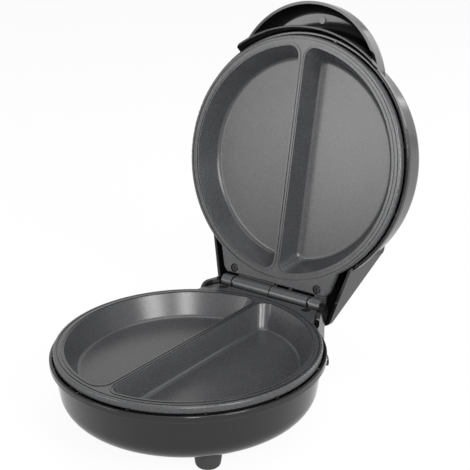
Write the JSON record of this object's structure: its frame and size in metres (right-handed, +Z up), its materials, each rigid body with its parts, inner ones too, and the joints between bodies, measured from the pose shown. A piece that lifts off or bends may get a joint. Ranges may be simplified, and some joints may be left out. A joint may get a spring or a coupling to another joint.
{
  "type": "electric omelette maker",
  "caption": "Electric omelette maker standing open: round housings on a rear hinge, each with a coated plate of two half-moon wells, and a visor handle on the lid.",
  "frame": {"origin": "on the table under the feet, at the centre of the open appliance's footprint box", "axes": "+Z up, +Y to the back where the hinge is, +X to the right seen from the front"},
  "size_m": [0.202, 0.2952, 0.2881],
  "materials": {
    "housing": "glossy black moulded plastic",
    "guard": "black moulded plastic",
    "foot": "matt black rubber",
    "plate": "die cast, with dark grey speckled non-stick coating",
    "steel": "bright zinc plated",
    "screw": "blackened steel",
    "element": "oxidised steel tube",
    "shield": "bare sheet",
    "ceramic": "white terminal plastic",
    "wire": "silicone insulation",
    "red_lens": "translucent red",
    "green_lens": "translucent green",
    "lamp": "clear glass",
    "sensor": "brown moulded case"
  },
  "bodies": {
    "base": {"base_housing": "housing", "feet": "foot", "lower_plate": "plate", "lower_plate_screws": "screw", "lower_heating_element": "element", "lower_element_clamp": "steel", "lower_clamp_screws": "steel", "lower_heat_shield": "shield", "lower_shield_screws": "steel", "thermostat": "sensor", "thermostat_screw": "steel", "hinge_pin": "steel", "hinge_pin_clips": "steel", "cord_gland": "guard", "cord_clamp": "ceramic", "cord_clamp_screws": "steel", "terminal_block": "ceramic", "base_wiring": "wire"},
    "lid": {"lid_housing": "housing", "handle_guard": "guard", "upper_plate": "plate", "upper_plate_screws": "screw", "upper_heating_element": "element", "upper_element_clamp": "steel", "upper_clamp_screws": "steel", "upper_heat_shield": "shield", "upper_shield_screws": "steel", "thermal_fuse": "steel", "fuse_clip": "steel", "fuse_clip_screw": "steel", "power_lamp_lens": "red_lens", "ready_lamp_lens": "green_lens", "lamp_holder": "ceramic", "lamp_holder_screws": "steel", "neon_lamps": "lamp", "lid_wiring": "wire"}
  },
  "joints": [
    {"name": "lid_hinge", "type": "hinge", "parent": "base", "child": "lid", "pos_m": [0, 0.06138, 0.062], "axis": [1, 0, 0], "range_deg": [0, 101.2]}
  ]
}
